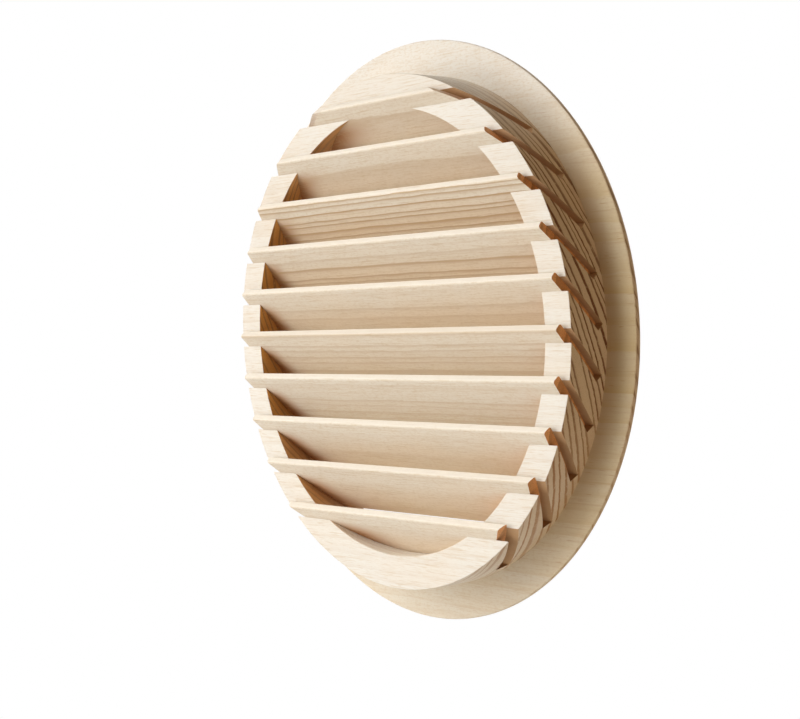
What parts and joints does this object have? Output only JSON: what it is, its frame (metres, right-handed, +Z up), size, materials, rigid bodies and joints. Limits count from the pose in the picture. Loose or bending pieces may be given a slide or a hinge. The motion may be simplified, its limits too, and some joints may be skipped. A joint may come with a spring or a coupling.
{
  "type": "round wooden vent grille",
  "caption": "Round wooden vent grille: a short collar with a thin flange, turned from one board, and sloping slats let into slanting saw cuts across the collar.",
  "frame": {"origin": "on the collar's axis, in the plane of the flange's face that seats on the wall", "axes": "+Z up with the slats level along X; the collar points to -Y, into the hole, and the flange is at +Y, on the room side"},
  "size_m": [0.18, 0.0195, 0.18],
  "materials": {
    "collar_pine": "planed and turned pine, unfinished, matt",
    "slat_pine": "planed pine, unfinished, matt"
  },
  "bodies": {
    "root": {"flanged_collar": "collar_pine", "slat_01": "slat_pine", "slat_02": "slat_pine", "slat_03": "slat_pine", "slat_04": "slat_pine", "slat_05": "slat_pine", "slat_06": "slat_pine", "slat_07": "slat_pine", "slat_08": "slat_pine", "slat_09": "slat_pine", "slat_10": "slat_pine"}
  },
  "joints": []
}
